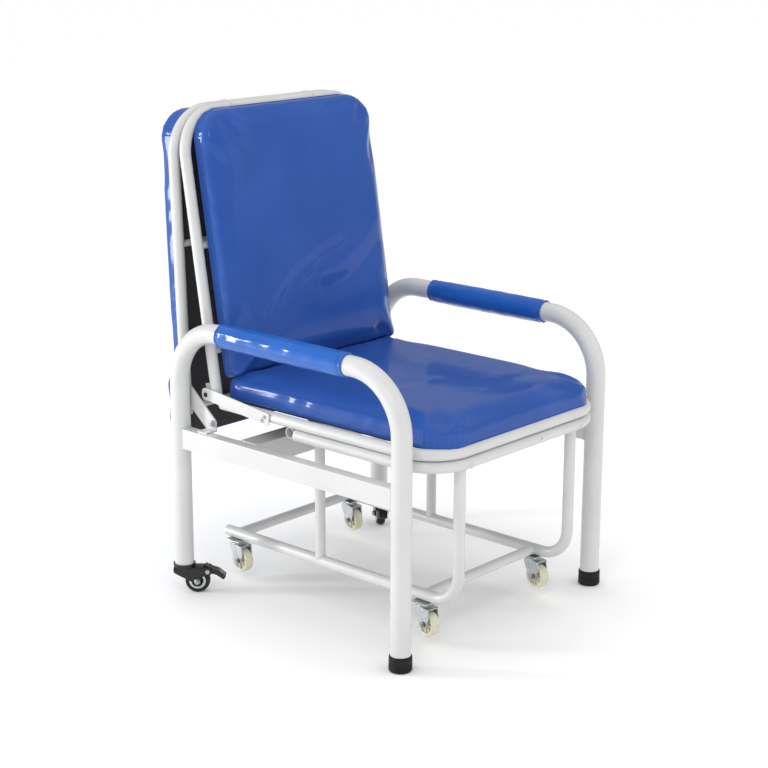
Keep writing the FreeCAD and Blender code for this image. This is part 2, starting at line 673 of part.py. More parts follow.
def make_brake_casters():
    for side, sign in SIDES.items():
        spot = ("%d * leg_x" % sign, "leg_rear_y", "0")
        half = "(brake_wide / 2 + cheek_gap + cheek_wall)"

        def put(obj, name):
            node(place(obj, spot, (0, 0, 1), str(sign * BRAKE_TURN)), name + "_" + side)

        put(make_housing(), "brake_caster_housing")
        axle = through_pin("pin_radius", half, "brake_trail", "brake_radius", "6")
        rivet = through_pin("rivet_radius", half, "pedal_y", "pedal_z", "4.5")
        put(group([axle, rivet]), "brake_caster_axle")
        start = ("-brake_wide / 2", "brake_trail", "brake_radius")
        hub = rod("hub_radius", "brake_wide", start, "x")
        bore = rod("pin_radius + turn_gap", "60", ("-30", "brake_trail", "brake_radius"), "x")
        put(cut(hub, bore), "brake_caster_hub")
        tyre = doc.addObject("Part::Fillet", "tread")
        tyre.Base = rod("brake_radius", "brake_wide", start, "x")
        tyre.Edges = [(1, 4.0, 4.0), (3, 4.0, 4.0)]
        seat = rod("hub_radius + fit_gap", "brake_wide", start, "x")
        put(cut(tyre, seat), "brake_caster_tyre")
        put(make_pedal(), "brake_pedal")


# ---- build and write --------------------------------------------------------------------------

make_hoops()
make_sleeves()
make_feet()
make_rails()
make_brackets()
make_frame_bolts()
make_sockets()
make_brake_casters()
make_rear_panel()
make_clips()
make_backrest()
make_seat()
make_links()
make_trolley()
make_trolley_bars()
make_end_plugs()
make_trolley_casters()
doc.recompute()

for obj in doc.Objects:
    if "Invalid" in obj.State or "Error" in obj.State:
        raise RuntimeError("%s (%s) failed: %s" % (obj.Name, obj.Label, obj.State))

os.makedirs("parts", exist_ok=True)
for obj in nodes:
    if obj.Shape.isNull() or not obj.Shape.isValid():
        raise RuntimeError("%s has no valid shape" % obj.Label)
    obj.Shape.exportStep("parts/%s.step" % obj.Label)
    print("%-26s solids %d volume %.0f" % (obj.Label, len(obj.Shape.Solids), obj.Shape.Volume))
print(len(nodes), "nodes")
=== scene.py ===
import json
import math

import bmesh
import bpy
import numpy as np
from mathutils import Matrix, Vector
from mathutils.bvhtree import BVHTree


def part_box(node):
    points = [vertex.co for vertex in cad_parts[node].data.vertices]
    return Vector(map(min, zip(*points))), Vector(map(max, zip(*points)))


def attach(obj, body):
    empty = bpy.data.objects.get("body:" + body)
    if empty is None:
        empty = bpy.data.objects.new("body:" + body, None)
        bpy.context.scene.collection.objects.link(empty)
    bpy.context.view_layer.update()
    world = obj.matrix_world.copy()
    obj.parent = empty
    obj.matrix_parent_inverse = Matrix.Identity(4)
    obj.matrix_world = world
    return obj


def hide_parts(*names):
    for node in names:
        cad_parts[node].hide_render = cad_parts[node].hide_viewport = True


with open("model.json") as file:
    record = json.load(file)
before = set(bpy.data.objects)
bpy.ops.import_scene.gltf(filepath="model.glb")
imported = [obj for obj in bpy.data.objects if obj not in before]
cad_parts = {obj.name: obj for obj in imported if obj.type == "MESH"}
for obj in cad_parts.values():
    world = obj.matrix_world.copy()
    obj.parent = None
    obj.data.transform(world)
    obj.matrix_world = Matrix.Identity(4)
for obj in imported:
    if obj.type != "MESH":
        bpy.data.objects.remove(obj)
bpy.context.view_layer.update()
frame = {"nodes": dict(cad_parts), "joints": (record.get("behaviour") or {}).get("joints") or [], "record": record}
nodes = frame["nodes"]
joints = {joint["name"]: joint for joint in frame["joints"]}
bodies = frame["record"]["behaviour"]["bodies"]

# Everything is in metres and degrees, in the CAD's frame: +Z up, the chair faces -Y.
SIDES = {"left": -1, "right": 1}
SPOTS = ["front_left", "front_right", "rear_left", "rear_right"]
BACK_LEAN = 9.2
REAR_LEAN = 2.236
LEG_RADIUS = 0.020
TUBE_RADIUS = 0.0115


def body_of(node):
    """The body that a CAD node belongs to."""
    return [name for name, members in bodies.items() if node in members][0]


def joint_place(name):
    return Vector(joints[name]["pos_m"])


# ---- materials --------------------------------------------------------------------------------

def new_material(name, colour, roughness, metallic=0.0, **sockets):
    """A principled material; any other shader socket is set by its name, _ for a space."""
    material = bpy.data.materials.new(name)
    material.use_nodes = True
    shader = material.node_tree.nodes["Principled BSDF"]
    shader.inputs["Base Color"].default_value = (*colour, 1)
    shader.inputs["Roughness"].default_value = roughness
    shader.inputs["Metallic"].default_value = metallic
    for socket, number in sockets.items():
        shader.inputs[socket.replace("_", " ")].default_value = number
    material.diffuse_color = (*colour, 1)
    return material


def add(material, kind, **settings):
    made = material.node_tree.nodes.new(kind)
    for key, setting in settings.items():
        if key in made.inputs:
            made.inputs[key].default_value = setting
        else:
            setattr(made, key, setting)
    return made


def link(material, start, end):
    material.node_tree.links.new(start, end)


def shader_of(material):
    return material.node_tree.nodes["Principled BSDF"]


def place_vector(material, scale=(1, 1, 1)):
    """Object coordinates, in metres, stretched by the scale."""
    source = add(material, "ShaderNodeTexCoord")
    mapping = add(material, "ShaderNodeMapping")
    mapping.inputs["Scale"].default_value = scale
    link(material, source.outputs["Object"], mapping.inputs["Vector"])
    return mapping.outputs["Vector"]


def noise_of(material, scale, detail=3.0, stretch=(1, 1, 1), roughness=0.5):
    texture = add(material, "ShaderNodeTexNoise", Scale=scale, Detail=detail, Roughness=roughness)
    link(material, place_vector(material, stretch), texture.inputs["Vector"])
    return texture.outputs["Fac"]


def vary_colour(material, factor, dark, light, low=0.35, high=0.65):
    """Drive the base colour between two colours with a 0 to 1 pattern."""
    ramp = add(material, "ShaderNodeValToRGB")
    ramp.color_ramp.elements[0].position = low
    ramp.color_ramp.elements[0].color = (*dark, 1)
    ramp.color_ramp.elements[1].position = high
    ramp.color_ramp.elements[1].color = (*light, 1)
    link(material, factor, ramp.inputs["Fac"])
    link(material, ramp.outputs["Color"], shader_of(material).inputs["Base Color"])
    return ramp


def vary_roughness(material, factor, low, high):
    span = add(material, "ShaderNodeMapRange")
    span.inputs["To Min"].default_value = low
    span.inputs["To Max"].default_value = high
    link(material, factor, span.inputs["Value"])
    link(material, span.outputs["Result"], shader_of(material).inputs["Roughness"])


def add_bump(material, height, distance, strength=1.0):
    """Stack one more bump on whatever already drives the normal."""
    normal = shader_of(material).inputs["Normal"]
    bump = add(material, "ShaderNodeBump", Strength=strength, Distance=distance)
    link(material, height, bump.inputs["Height"])
    if normal.is_linked:
        link(material, normal.links[0].from_socket, bump.inputs["Normal"])
    link(material, bump.outputs["Normal"], normal)


def paint_material():
    """Powder coat: off-white, satin, with a faint orange peel."""
    paint = new_material("powder_coat", (0.60, 0.605, 0.60), 0.3, Coat_Weight=0.25, Coat_Roughness=0.12)
    vary_colour(paint, noise_of(paint, 9, 4), (0.58, 0.587, 0.58), (0.625, 0.63, 0.625))
    vary_roughness(paint, noise_of(paint, 40, 5), 0.24, 0.40)
    add_bump(paint, noise_of(paint, 420, 2), 0.00012, 0.35)
    add_bump(paint, noise_of(paint, 35, 2), 0.0006, 0.12)
    return paint


def vinyl_material(name, dark, light, gloss):
    """Glossy upholstery vinyl: embossed grain under a clear top film that ripples."""
    vinyl = new_material(name, light, 0.32, Coat_Weight=gloss, Coat_IOR=1.42, Coat_Roughness=0.08,
                         Specular_IOR_Level=0.06)
    vary_colour(vinyl, noise_of(vinyl, 5, 5, roughness=0.6), dark, light)
    vary_roughness(vinyl, noise_of(vinyl, 60, 4), 0.26, 0.42)
    grain = add(vinyl, "ShaderNodeTexVoronoi", feature="SMOOTH_F1", Scale=900)
    link(vinyl, place_vector(vinyl), grain.inputs["Vector"])
    add_bump(vinyl, grain.outputs["Distance"], 0.0001, 0.22)
    add_bump(vinyl, noise_of(vinyl, 14, 2, roughness=0.4), 0.0030, 0.30)
    return vinyl


def cloth_material():
    """Black backing cloth with a plain weave."""
    cloth = new_material("backing_cloth", (0.012, 0.012, 0.014), 0.92, Sheen_Weight=0.3)
    for way in ("X", "Z"):
        thread = add(cloth, "ShaderNodeTexWave", Scale=260, Distortion=0.6, wave_type="BANDS",
                     bands_direction=way)
        link(cloth, place_vector(cloth), thread.inputs["Vector"])
        add_bump(cloth, thread.outputs["Fac"], 0.0005, 0.5)
    vary_colour(cloth, noise_of(cloth, 120, 4), (0.008, 0.008, 0.010), (0.022, 0.022, 0.026))
    return cloth


def rubber_material(name, colour, roughness):
    rubber = new_material(name, colour, roughness, Specular_IOR_Level=0.35)
    vary_colour(rubber, noise_of(rubber, 70, 5), colour, tuple(c * 1.9 for c in colour), 0.4, 0.75)
    vary_roughness(rubber, noise_of(rubber, 130, 4), roughness - 0.1, roughness + 0.12)
    add_bump(rubber, noise_of(rubber, 900, 3), 0.00015, 0.4)
    return rubber


def metal_material(name, dark, light, roughness):
    """Zinc plate: a fine crystalline spangle with drawn scratches."""
    metal = new_material(name, light, roughness, metallic=1.0)
    vary_colour(metal, noise_of(metal, 220, 4, (1, 1, 0.4)), dark, light, 0.3, 0.7)
    vary_roughness(metal, noise_of(metal, 300, 4, (0.3, 1, 1)), roughness - 0.08, roughness + 0.12)
    add_bump(metal, noise_of(metal, 700, 2, (0.2, 1, 1)), 0.0001, 0.25)
    return metal


def nylon_material(name, dark, light, roughness):
    """Moulded plastic, slightly mottled, with a fine spark texture."""
    nylon = new_material(name, light, roughness, Specular_IOR_Level=0.5)
    vary_colour(nylon, noise_of(nylon, 90, 4), dark, light)
    vary_roughness(nylon, noise_of(nylon, 160, 3), roughness - 0.07, roughness + 0.1)
    add_bump(nylon, noise_of(nylon, 1100, 2), 0.00008, 0.3)
    return nylon


PAINT = paint_material()
VINYL = vinyl_material("seat_vinyl", (0.020, 0.075, 0.320), (0.028, 0.090, 0.365), 0.5)
SLEEVE = vinyl_material("sleeve_vinyl", (0.014, 0.098, 0.41), (0.022, 0.122, 0.47), 0.9)
BACKING = cloth_material()
RUBBER = rubber_material("foot_rubber", (0.005, 0.005, 0.005), 0.62)
TYRE = rubber_material("tyre_rubber", (0.009, 0.009, 0.010), 0.5)
NYLON = nylon_material("black_nylon", (0.004, 0.004, 0.005), (0.007, 0.007, 0.009), 0.26)
HUB = nylon_material("hub_nylon", (0.014, 0.014, 0.016), (0.026, 0.026, 0.030), 0.42)
WHITE = nylon_material("white_plastic", (0.74, 0.75, 0.73), (0.80, 0.80, 0.78), 0.38)
IVORY = nylon_material("ivory_nylon", (0.60, 0.585, 0.44), (0.70, 0.68, 0.53), 0.34)
ZINC = metal_material("zinc_plate", (0.50, 0.53, 0.54), (0.72, 0.75, 0.76), 0.30)
BOLT = metal_material("bolt_zinc", (0.34, 0.35, 0.36), (0.62, 0.63, 0.64), 0.32)

SLOT_MATERIALS = {
    "frame_paint": PAINT, "seat_vinyl": VINYL, "sleeve_vinyl": SLEEVE, "backing": BACKING,
    "foot_rubber": RUBBER, "white_plastic": WHITE, "black_nylon": NYLON, "hub_grey": HUB,
    "tyre_black": TYRE, "bolt_steel": BOLT, "zinc_plate": ZINC, "ivory_wheel": IVORY,
}

# ---- CAD nodes that stay ----------------------------------------------------------------------

SOFT_EDGES = {
    "cross_rails": 0.0028, "side_rail": 0.0022, "pivot_bracket": 0.0009, "hinge_clips": 0.0004,
    "back_ears": 0.0008, "seat_link": 0.0009, "end_plugs": 0.0010, "caster_plates": 0.0007,
    "caster_fork": 0.0006, "caster_axle": 0.0006, "caster_socket": 0.0012, "brake_pedal": 0.0016,
    "frame_bolts": 0.0008, "rear_panel_pivots": 0.0008, "brake_caster_axle": 0.0007,
}


def soften(node, width):
    """Round a CAD node's sharp edges for the light to catch."""
    weld = node.modifiers.new("weld", "WELD")
    weld.merge_threshold = 0.00001
    bevel = node.modifiers.new("bevel", "BEVEL")
    bevel.width = width
    bevel.segments = 3
    bevel.limit_method = "ANGLE"
    bevel.angle_limit = math.radians(40)
    bevel.use_clamp_overlap = True
    bevel.harden_normals = False


def dress_nodes():
    slots = {part["node"]: part["material_slot"] for part in frame["record"]["subparts"]}
    for name, node in nodes.items():
        material = SLOT_MATERIALS[slots[name]]
        node.data.materials.clear()
        node.data.materials.append(material)
        for prefix, width in SOFT_EDGES.items():
            if name.startswith(prefix):
                soften(node, width)


# ---- mesh helpers -----------------------------------------------------------------------------

def mesh_piece(name, mesh, body, material, slot, smooth=True):
    """Wrap a mesh, already in the row frame, as a piece of the object on a body."""
    piece = bpy.data.objects.new(name, mesh)
    bpy.context.scene.collection.objects.link(piece)
    mesh.materials.clear()
    mesh.materials.append(material)
    if smooth:
        mesh.shade_smooth()
    if body:
        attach(piece, body)
    return piece


def from_bmesh(bm, name):
    mesh = bpy.data.meshes.new(name)
    bm.to_mesh(mesh)
    bm.free()
    return mesh


def frame_along(centre, along, up=(0, 0, 1)):
    """A matrix whose local Z runs along a direction and whose local Y leans to up."""
    z = Vector(along).normalized()
    x = Vector(up).cross(z)
    if x.length < 1e-6:
        x = Vector((1, 0, 0))
    x.normalize()
    y = z.cross(x)
    turn = Matrix((x, y, z)).transposed().to_4x4()
    return Matrix.Translation(Vector(centre)) @ turn


def revolve(bm, profile, where, segments=56, closed=False):
    """Turn a profile of (radius, height) round the local Z axis of a matrix."""
    rings = []
    for radius, height in profile:
        if radius < 1e-7:
            rings.append([bm.verts.new(where @ Vector((0, 0, height)))])
            continue
        ring = []
        for i in range(segments):
            angle = 2 * math.pi * i / segments
            spot = Vector((radius * math.cos(angle), radius * math.sin(angle), height))
            ring.append(bm.verts.new(where @ spot))
        rings.append(ring)
    pairs = list(zip(rings, rings[1:]))
    if closed:
        pairs.append((rings[-1], rings[0]))
    for low, high in pairs:
        for i in range(segments):
            j = (i + 1) % segments
            if len(low) == 1 and len(high) == 1:
                continue
            if len(low) == 1:
                bm.faces.new((low[0], high[j], high[i]))
            elif len(high) == 1:
                bm.faces.new((low[i], low[j], high[0]))
            else:
                bm.faces.new((low[i], low[j], high[j], high[i]))
    return rings


def outward(bm):
    bmesh.ops.recalc_face_normals(bm, faces=bm.faces[:])
    return bm


def lathe(name, profile, where, body, material, slot, segments=56, closed=False):
    bm = bmesh.new()
    revolve(bm, profile, where, segments, closed)
    return mesh_piece(name, from_bmesh(outward(bm), name), body, material, slot)


def tube_mesh(name, points, radius, cyclic=False, sides=10, ripple=0.0):
    """A round bead along a list of points; its radius may ripple like a weld's."""
    curve = bpy.data.curves.new(name, "CURVE")
    curve.dimensions = "3D"
    curve.bevel_depth = radius
    curve.bevel_resolution = sides // 4
    curve.use_fill_caps = not cyclic
    spline = curve.splines.new("POLY")
    spline.points.add(len(points) - 1)
    for i, point in enumerate(points):
        spline.points[i].co = (*point, 1)
        spline.points[i].radius = 1 + ripple * math.sin(i * 2.1)
    spline.use_cyclic_u = cyclic
    holder = bpy.data.objects.new(name + "_curve", curve)
    bpy.context.scene.collection.objects.link(holder)
    graph = bpy.context.evaluated_depsgraph_get()
    mesh = bpy.data.meshes.new_from_object(holder.evaluated_get(graph))
    mesh.name = name
    bpy.data.objects.remove(holder)
    return mesh


def join_meshes(name, meshes):
    bm = bmesh.new()
    for mesh in meshes:
        bm.from_mesh(mesh)
    return from_bmesh(bm, name)


def prism(bm, outline, low, high, where):
    """An outline of (u, v) points extruded from low to high along the matrix's local X."""
    near = [bm.verts.new(where @ Vector((low, u, v))) for u, v in outline]
    far = [bm.verts.new(where @ Vector((high, u, v))) for u, v in outline]
    bm.faces.new(near[::-1])
    bm.faces.new(far)
    for i in range(len(outline)):
        j = (i + 1) % len(outline)
        bm.faces.new((near[i], near[j], far[j], far[i]))


# ---- cushions ---------------------------------------------------------------------------------

# How far a cover reaches down past the face of its board.
TUCK = 0.0034
# The band inside a pad's outline that ripples with its side.
RIM = 0.02
# The size of a pad's mesh cells before it is swollen.
VOXEL = 0.0065
# The furthest that a pad's sides move in or out.
SIDE_CAP = 0.0032
# How long the cloth runs.
CLOTH_FRAMES = 20
# The height below which a cover is held, as it is stapled to its board.
HELD_BELOW = 0.003


class Pad:
    """A flat pad in its own frame: u across, v along, w up from its board."""

    def __init__(self, u, v_low, v_high, thick, radii, matrix, edge=0.013):
        self.u = u
        self.v = (v_low, v_high)
        self.thick = thick
        self.radii = radii
        self.matrix = matrix
        self.edge = edge

    def outline(self, inset, corner_steps=14, edge_steps=24):
        """Points round the pad, from the low left corner, counter-clockwise."""
        low, high = self.v[0] + inset, self.v[1] - inset
        half = self.u - inset
        spots = [(-half, low, 180), (half, low, 270), (half, high, 0), (-half, high, 90)]
        points = []
        for i, (u, v, start) in enumerate(spots):
            radius = max(self.radii[i] - inset, 0.002)
            cu = u - math.copysign(radius, u)
            cv = v + radius if v == low else v - radius
            for step in range(corner_steps + 1):
                angle = math.radians(start + 90 * step / corner_steps)
                points.append(Vector((cu + radius * math.cos(angle), cv + radius * math.sin(angle))))
        dense = []
        for i, point in enumerate(points):
            following = points[(i + 1) % len(points)]
            dense.append(point)
            if (following - point).length > 0.03:
                for step in range(1, edge_steps):
                    dense.append(point.lerp(following, step / edge_steps))
        return dense

    def base_mesh(self, name, shrink):
        """The starting shape: a slab with a rounded face edge, a little small all round."""
        top = self.thick - shrink
        edge = self.edge
        profile = [(shrink + 0.001, -TUCK), (shrink, 0.001 - TUCK)]
        for step in range(7):
            angle = math.radians(90 * step / 6)
            inset = shrink + edge * (1 - math.cos(angle))
            profile.append((inset, top - edge + edge * math.sin(angle)))
        bm = bmesh.new()
        rings = []
        for inset, w in profile:
            rings.append([bm.verts.new((p.x, p.y, w)) for p in self.outline(inset)])
        for low, high in zip(rings, rings[1:]):
            for i in range(len(low)):
                j = (i + 1) % len(low)
                bm.faces.new((low[i], low[j], high[j], high[i]))
        bm.faces.new(rings[0][::-1])
        bm.faces.new(rings[-1])
        return from_bmesh(outward(bm), name)


def apply_modifiers(piece):
    """Swap a piece's mesh for its evaluated one."""
    graph = bpy.context.evaluated_depsgraph_get()
    mesh = bpy.data.meshes.new_from_object(piece.evaluated_get(graph))
    piece.modifiers.clear()
    old = piece.data
    piece.data = mesh
    bpy.data.meshes.remove(old)


def points_of(mesh):
    spots = np.zeros(len(mesh.vertices) * 3)
    mesh.vertices.foreach_get("co", spots)
    return spots.reshape(-1, 3)


def normals_of(mesh):
    ways = np.zeros(len(mesh.vertices) * 3)
    mesh.vertices.foreach_get("normal", ways)
    return ways.reshape(-1, 3)


def set_points(mesh, spots):
    mesh.vertices.foreach_set("co", spots.ravel())
    mesh.update()


def inflate(piece, pressure, cap, side_cap):
    """Swell a pad with cloth pressure, its board side held, and cap how far it moves."""
    remesh = piece.modifiers.new("remesh", "REMESH")
    remesh.mode = "VOXEL"
    remesh.voxel_size = VOXEL
    apply_modifiers(piece)
    start = points_of(piece.data)
    held = piece.vertex_groups.new(name="held")
    held.add([int(i) for i in np.nonzero(start[:, 2] < HELD_BELOW)[0]], 1.0, "REPLACE")
    cloth = piece.modifiers.new("cloth", "CLOTH")
    cloth.settings.quality = 5
    cloth.settings.mass = 0.3
    cloth.settings.tension_stiffness = 18
    cloth.settings.compression_stiffness = 18
    cloth.settings.shear_stiffness = 8
    cloth.settings.bending_stiffness = 1.2
    cloth.settings.use_pressure = True
    cloth.settings.uniform_pressure_force = pressure
    cloth.settings.vertex_group_mass = "held"
    cloth.settings.effector_weights.gravity = 0
    cloth.collision_settings.use_collision = False
    scene = bpy.context.scene
    for step in range(1, CLOTH_FRAMES + 1):
        scene.frame_set(step)
    apply_modifiers(piece)
    scene.frame_set(1)
    moved = points_of(piece.data) - start
    # the sides are stitched to the board, so they move far less than the face
    for axes, most in ((slice(0, 2), side_cap), (slice(2, 3), cap)):
        part = moved[:, axes]
        far = np.linalg.norm(part, axis=1, keepdims=True)
        moved[:, axes] = part * most * np.tanh(far / most) / np.maximum(far, 1e-9)
    set_points(piece.data, start + moved)
    smooth = piece.modifiers.new("subdivide", "SUBSURF")
    smooth.levels = 1
    smooth.render_levels = 1
    apply_modifiers(piece)


def corner_waves(spots, pad, depth, waves):
    """Gathers round the pad's large corners: how far each point is pushed outward."""
    push = np.zeros(len(spots))
    for i, (su, sv) in enumerate(((-1, -1), (1, -1), (1, 1), (-1, 1))):
        radius = pad.radii[i]
        reach = max(radius, 0.03)
        cu = su * (pad.u - reach)
        cv = (pad.v[0] + reach) if sv < 0 else (pad.v[1] - reach)
        du = (spots[:, 0] - cu) * su
        dv = (spots[:, 1] - cv) * sv
        angle = np.degrees(np.arctan2(dv, du))
        inside = np.clip((angle + 10) / 14, 0, 1) * np.clip((100 - angle) / 14, 0, 1)
        out = np.hypot(du, dv)
        rim = np.clip((out - reach * 0.62) / (reach * 0.3), 0, 1)
        count = waves if radius > 0.03 else waves // 2
        ripple = np.sin(np.radians(angle) * 4 * count + 1.3 * np.sin(np.radians(angle) * 7))
        push += ripple * inside * rim * depth * (0.75 + 0.25 * np.sin(np.radians(angle) * 13))
    height = np.clip(spots[:, 2] / pad.thick, 0, 1.2)
    return push * np.clip(1.25 - height, 0, 1) ** 0.6 * np.clip(height * 6, 0, 1)


def side_waves(spots, pad, depth):
    """Long slack ripples along the straight sides."""
    middle, half = sum(pad.v) / 2, (pad.v[1] - pad.v[0]) / 2
    edge_u = np.clip((np.abs(spots[:, 0]) - (pad.u - RIM)) / RIM, 0, 1)
    edge_v = np.clip((np.abs(spots[:, 1] - middle) - (half - RIM)) / RIM, 0, 1)
    height = np.clip(spots[:, 2] / pad.thick, 0, 1)
    band = np.sin(np.pi * height)
    along_v = np.sin(spots[:, 1] * 92 + 1.7 * np.sin(spots[:, 1] * 31) + spots[:, 2] * 60)
    along_u = np.sin(spots[:, 0] * 84 + 1.4 * np.sin(spots[:, 0] * 27) + spots[:, 2] * 50)
    return depth * band * (edge_u * along_v + edge_v * along_u)


def crease_push(spots, creases):
    """Soft folds in the face: a groove with a ridge beside it, along each bent line."""
    push = np.zeros(len(spots))
    for line, width, depth in creases:
        for (u0, v0), (u1, v1) in zip(line, line[1:]):
            run = np.array([u1 - u0, v1 - v0])
            length = np.linalg.norm(run)
            run = run / length
            du = spots[:, 0] - u0
            dv = spots[:, 1] - v0
            along = du * run[0] + dv * run[1]
            across = -du * run[1] + dv * run[0]
            ends = np.clip(along / 0.02 + 1, 0, 1) * np.clip((length - along) / 0.02 + 1, 0, 1)
            inside = (along > -0.02) & (along < length + 0.02)
            share = np.where(inside, np.minimum(ends, 1), 0)
            groove = -np.exp(-(across / width) ** 2)
            ridge = 0.8 * np.exp(-((across - 1.9 * width) / (1.3 * width)) ** 2)
            push = np.where(np.abs((groove + ridge) * share * depth) > np.abs(push),
                            (groove + ridge) * share * depth, push)
    return push


def make_pad(name, node, pad, creases=(), cap=0.010, pressure=4.0, shrink=0.002):
    """One cushion: swollen, creased, gathered at its corners, with a tucked hem round its board."""
    mesh = pad.base_mesh(name, shrink)
    piece = bpy.data.objects.new(name, mesh)
    bpy.context.scene.collection.objects.link(piece)
    inflate(piece, pressure, cap, SIDE_CAP)
    mesh = piece.data
    spots = points_of(mesh)
    ways = normals_of(mesh)
    sideways = ways * (1, 1, 0)
    ripple = corner_waves(spots, pad, 0.0008, 10) + side_waves(spots, pad, 0.0006)
    spots = spots + sideways * ripple[:, None]
    if creases:
        facing = np.clip((ways[:, 2] - 0.5) / 0.4, 0, 1)
        spots[:, 2] += crease_push(spots, creases) * facing
    set_points(mesh, spots)
    mesh.transform(pad.matrix)
    mesh.materials.clear()
    mesh.materials.append(VINYL)
    mesh.shade_smooth()
    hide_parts(node)
    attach(piece, body_of(node))
    add_hem(name + "_hem", piece, pad, node)
    return piece


def add_hem(name, piece, pad, node):
    """The cover's folded edge: a thin welt that follows the cushion just above its board."""
    mesh = piece.data
    inverse = pad.matrix.inverted()
    tree = BVHTree.FromPolygons([inverse @ v.co for v in mesh.vertices],
                                [tuple(p.vertices) for p in mesh.polygons])
    loop = pad.outline(0.0)
    points = []
    for i, point in enumerate(loop):
        before = loop[i - 1]
        after = loop[(i + 1) % len(loop)]
        tangent = (after - before).normalized()
        normal = Vector((tangent.y, -tangent.x, 0))
        start = Vector((point.x, point.y, 0.0)) + normal * 0.05
        hit = tree.ray_cast(start, -normal, 0.09)[0]
        if hit:
            points.append(pad.matrix @ (hit + normal * 0.0002))
    bead = tube_mesh(name, points, 0.0013, cyclic=True)
    mesh_piece(name, bead, body_of(node), VINYL, "seat_vinyl")


def panel_matrix(joint, lean, behind):
    """A panel's frame at its top tube: u across, v up the panel, w out towards its pad."""
    angle = math.radians(lean)
    up = Vector((0, math.sin(angle), math.cos(angle)))
    out = Vector((0, math.cos(angle), -math.sin(angle)))
    if not behind:
        out = -out
    turn = Matrix((up.cross(out), up, out)).transposed().to_4x4()
    return Matrix.Translation(joint_place(joint)) @ turn


def pad_on(node, matrix, radii, lower=0.0, thicker=0.0, edge=0.013):
    """A pad on a CAD cushion, measured in the frame it lies in; its cover swells a little past it."""
    inverse = matrix.inverted()
    spots = np.array([inverse @ vertex.co for vertex in nodes[node].data.vertices])
    low, high = spots.min(0), spots.max(0)
    board = matrix @ Matrix.Translation((0, 0, low[2]))
    thick = high[2] - low[2] + thicker
    return Pad(high[0] + SWELL, low[1] - lower, high[1] + SWELL, thick, radii, board, edge)


BIG = 0.068
SMALL = 0.016
SWELL = 0.003


def make_cushions():
    seat_creases = [
        ([(-0.20, -0.05), (-0.12, -0.12), (0.0, -0.16)], 0.020, 0.0007),
        ([(0.02, -0.30), (0.10, -0.27), (0.19, -0.28)], 0.018, 0.0006),
    ]
    seat = pad_on("seat_cushion", Matrix.Identity(4), [BIG, BIG, SMALL, SMALL], edge=0.016)
    make_pad("seat_pad", "seat_cushion", seat, seat_creases, cap=0.009)
    back_creases = [
        ([(-0.14, -0.43), (-0.06, -0.36), (0.02, -0.325), (0.10, -0.305)], 0.015, 0.0009),
        ([(-0.10, -0.43), (-0.03, -0.375), (0.05, -0.345)], 0.012, 0.0007),
        ([(0.02, -0.40), (0.10, -0.385), (0.17, -0.345), (0.225, -0.30)], 0.022, 0.0022),
        ([(-0.05, -0.20), (0.08, -0.16), (0.20, -0.10)], 0.024, 0.0005),
    ]
    front = panel_matrix("backrest_fold", BACK_LEAN, False)
    back = pad_on("back_cushion", front, [SMALL, SMALL, BIG, BIG], lower=0.018, edge=0.019)
    make_pad("back_pad", "back_cushion", back, back_creases, cap=0.009)
    behind = panel_matrix("clip_turn", REAR_LEAN, True)
    rear_creases = [([(-0.15, -0.35), (0.0, -0.30), (0.14, -0.31)], 0.018, 0.0009)]
    rear = pad_on("rear_panel_cushion", behind, [SMALL, SMALL, BIG, BIG], thicker=0.007, edge=0.009)
    make_pad("rear_panel_pad", "rear_panel_cushion", rear, rear_creases, cap=0.009)
    pillow = pad_on("rear_panel_pillow", behind, [0.03] * 4, edge=0.020)
    make_pad("pillow_pad", "rear_panel_pillow", pillow, cap=0.007)


# ---- armrest sleeves --------------------------------------------------------------------------

def make_sleeves():
    """A vinyl sleeve over foam: hemmed ends, a seam underneath and slack ripples near its ends."""
    for side in SIDES:
        node = "armrest_sleeve_" + side
        low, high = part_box(node)
        centre_x, centre_z = (low.x + high.x) / 2, (low.z + high.z) / 2
        length = high.y - low.y
        around, stations = 96, 170
        bm = bmesh.new()
        rings = []
        for i in range(stations + 1):
            share = i / stations
            from_end = min(share, 1 - share) * length
            radius = 0.0233 + 0.0011 * math.sin(math.pi * share) ** 0.5
            radius -= 0.0019 * math.exp(-((from_end - 0.0075) / 0.0028) ** 2)
            radius -= 0.0026 * max(0.0, 1 - from_end / 0.0016) ** 2
            ring = []
            for k in range(around):
                angle = 2 * math.pi * k / around
                slack = math.exp(-from_end / 0.035)
                ripple = 0.00055 * slack * math.sin(angle * 11 + 2.2 * math.sin(angle * 3 + i * 0.02))
                wave = 0.00035 * math.sin(share * 37 + 2 * math.sin(angle)) * math.sin(angle * 2 + share * 5)
                seam = 0.0009 * math.exp(-((angle - math.radians(262)) / 0.035) ** 2)
                step = 0.0006 if math.radians(262) < angle < math.radians(285) else 0.0
                lap = step * math.exp(-((angle - math.radians(268)) / 0.2) ** 2)
                size = radius + ripple + wave + seam + lap
                spot = (centre_x + size * math.cos(angle), low.y + share * length,
                        centre_z + size * math.sin(angle))
                ring.append(bm.verts.new(spot))
            rings.append(ring)
        inner = []
        for y in (high.y - 0.0004, low.y + 0.0004):
            ring = []
            for k in range(around):
                angle = 2 * math.pi * k / around
                ring.append(bm.verts.new((centre_x + 0.02012 * math.cos(angle), y,
                                          centre_z + 0.02012 * math.sin(angle))))
            inner.append(ring)
        loops = rings + inner
        for first, second in zip(loops, loops[1:] + loops[:1]):
            for k in range(around):
                j = (k + 1) % around
                bm.faces.new((first[k], first[j], second[j], second[k]))
        piece = mesh_piece("arm_sleeve_" + side, from_bmesh(outward(bm), node), body_of(node), SLEEVE,
                           "sleeve_vinyl")
        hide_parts(node)


# ---- feet and casters -------------------------------------------------------------------------

